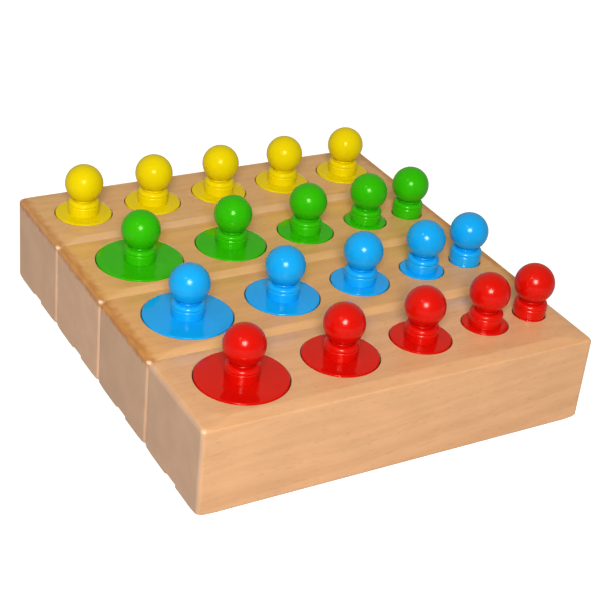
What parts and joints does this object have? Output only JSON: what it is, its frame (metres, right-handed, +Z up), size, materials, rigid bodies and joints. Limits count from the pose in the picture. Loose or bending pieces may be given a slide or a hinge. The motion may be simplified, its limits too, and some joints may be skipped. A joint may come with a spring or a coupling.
{
  "type": "knobbed cylinder blocks",
  "caption": "Wooden blocks side by side, each with a row of drilled sockets that hold painted cylinders, lifted out by their ball knobs.",
  "frame": {"origin": "on the table, under the middle of the four blocks standing side by side", "axes": "+Z up, X along the blocks with the largest cylinders at -X, -Y to the front where the red block stands"},
  "size_m": [0.167, 0.18, 0.059],
  "materials": {
    "beech": "varnished, satin gloss",
    "red_paint": "gloss paint on turned wood",
    "blue_paint": "gloss paint on turned wood",
    "green_paint": "gloss paint on turned wood",
    "yellow_paint": "gloss paint on turned wood"
  },
  "bodies": {
    "red_block": {"red_block": "beech"},
    "red_cylinder_1": {"red_cylinder_1": "red_paint", "red_knob_1": "red_paint"},
    "red_cylinder_2": {"red_cylinder_2": "red_paint", "red_knob_2": "red_paint"},
    "red_cylinder_3": {"red_cylinder_3": "red_paint", "red_knob_3": "red_paint"},
    "red_cylinder_4": {"red_cylinder_4": "red_paint", "red_knob_4": "red_paint"},
    "red_cylinder_5": {"red_cylinder_5": "red_paint", "red_knob_5": "red_paint"},
    "blue_block": {"blue_block": "beech"},
    "blue_cylinder_1": {"blue_cylinder_1": "blue_paint", "blue_knob_1": "blue_paint"},
    "blue_cylinder_2": {"blue_cylinder_2": "blue_paint", "blue_knob_2": "blue_paint"},
    "blue_cylinder_3": {"blue_cylinder_3": "blue_paint", "blue_knob_3": "blue_paint"},
    "blue_cylinder_4": {"blue_cylinder_4": "blue_paint", "blue_knob_4": "blue_paint"},
    "blue_cylinder_5": {"blue_cylinder_5": "blue_paint", "blue_knob_5": "blue_paint"},
    "green_block": {"green_block": "beech"},
    "green_cylinder_1": {"green_cylinder_1": "green_paint", "green_knob_1": "green_paint"},
    "green_cylinder_2": {"green_cylinder_2": "green_paint", "green_knob_2": "green_paint"},
    "green_cylinder_3": {"green_cylinder_3": "green_paint", "green_knob_3": "green_paint"},
    "green_cylinder_4": {"green_cylinder_4": "green_paint", "green_knob_4": "green_paint"},
    "green_cylinder_5": {"green_cylinder_5": "green_paint", "green_knob_5": "green_paint"},
    "yellow_block": {"yellow_block": "beech"},
    "yellow_cylinder_1": {"yellow_cylinder_1": "yellow_paint", "yellow_knob_1": "yellow_paint"},
    "yellow_cylinder_2": {"yellow_cylinder_2": "yellow_paint", "yellow_knob_2": "yellow_paint"},
    "yellow_cylinder_3": {"yellow_cylinder_3": "yellow_paint", "yellow_knob_3": "yellow_paint"},
    "yellow_cylinder_4": {"yellow_cylinder_4": "yellow_paint", "yellow_knob_4": "yellow_paint"},
    "yellow_cylinder_5": {"yellow_cylinder_5": "yellow_paint", "yellow_knob_5": "yellow_paint"}
  },
  "joints": [
    {"name": "red_cylinder_1_lift", "type": "slide", "parent": "red_block", "child": "red_cylinder_1", "axis": [0, 0, 1], "range_m": [0, 0.035]},
    {"name": "red_cylinder_2_lift", "type": "slide", "parent": "red_block", "child": "red_cylinder_2", "axis": [0, 0, 1], "range_m": [0, 0.035]},
    {"name": "red_cylinder_3_lift", "type": "slide", "parent": "red_block", "child": "red_cylinder_3", "axis": [0, 0, 1], "range_m": [0, 0.035]},
    {"name": "red_cylinder_4_lift", "type": "slide", "parent": "red_block", "child": "red_cylinder_4", "axis": [0, 0, 1], "range_m": [0, 0.035]},
    {"name": "red_cylinder_5_lift", "type": "slide", "parent": "red_block", "child": "red_cylinder_5", "axis": [0, 0, 1], "range_m": [0, 0.035]},
    {"name": "blue_block_slide", "type": "slide", "parent": "red_block", "child": "blue_block", "axis": [0, 1, 0], "range_m": [0, 0.06]},
    {"name": "blue_cylinder_1_lift", "type": "slide", "parent": "blue_block", "child": "blue_cylinder_1", "axis": [0, 0, 1], "range_m": [0, 0.035]},
    {"name": "blue_cylinder_2_lift", "type": "slide", "parent": "blue_block", "child": "blue_cylinder_2", "axis": [0, 0, 1], "range_m": [0, 0.031]},
    {"name": "blue_cylinder_3_lift", "type": "slide", "parent": "blue_block", "child": "blue_cylinder_3", "axis": [0, 0, 1], "range_m": [0, 0.027]},
    {"name": "blue_cylinder_4_lift", "type": "slide", "parent": "blue_block", "child": "blue_cylinder_4", "axis": [0, 0, 1], "range_m": [0, 0.023]},
    {"name": "blue_cylinder_5_lift", "type": "slide", "parent": "blue_block", "child": "blue_cylinder_5", "axis": [0, 0, 1], "range_m": [0, 0.019]},
    {"name": "green_block_slide", "type": "slide", "parent": "blue_block", "child": "green_block", "axis": [0, 1, 0], "range_m": [0, 0.06]},
    {"name": "green_cylinder_1_lift", "type": "slide", "parent": "green_block", "child": "green_cylinder_1", "axis": [0, 0, 1], "range_m": [0, 0.019]},
    {"name": "green_cylinder_2_lift", "type": "slide", "parent": "green_block", "child": "green_cylinder_2", "axis": [0, 0, 1], "range_m": [0, 0.023]},
    {"name": "green_cylinder_3_lift", "type": "slide", "parent": "green_block", "child": "green_cylinder_3", "axis": [0, 0, 1], "range_m": [0, 0.027]},
    {"name": "green_cylinder_4_lift", "type": "slide", "parent": "green_block", "child": "green_cylinder_4", "axis": [0, 0, 1], "range_m": [0, 0.031]},
    {"name": "green_cylinder_5_lift", "type": "slide", "parent": "green_block", "child": "green_cylinder_5", "axis": [0, 0, 1], "range_m": [0, 0.035]},
    {"name": "yellow_block_slide", "type": "slide", "parent": "green_block", "child": "yellow_block", "axis": [0, 1, 0], "range_m": [0, 0.06]},
    {"name": "yellow_cylinder_1_lift", "type": "slide", "parent": "yellow_block", "child": "yellow_cylinder_1", "axis": [0, 0, 1], "range_m": [0, 0.035]},
    {"name": "yellow_cylinder_2_lift", "type": "slide", "parent": "yellow_block", "child": "yellow_cylinder_2", "axis": [0, 0, 1], "range_m": [0, 0.031]},
    {"name": "yellow_cylinder_3_lift", "type": "slide", "parent": "yellow_block", "child": "yellow_cylinder_3", "axis": [0, 0, 1], "range_m": [0, 0.027]},
    {"name": "yellow_cylinder_4_lift", "type": "slide", "parent": "yellow_block", "child": "yellow_cylinder_4", "axis": [0, 0, 1], "range_m": [0, 0.023]},
    {"name": "yellow_cylinder_5_lift", "type": "slide", "parent": "yellow_block", "child": "yellow_cylinder_5", "axis": [0, 0, 1], "range_m": [0, 0.019]}
  ]
}
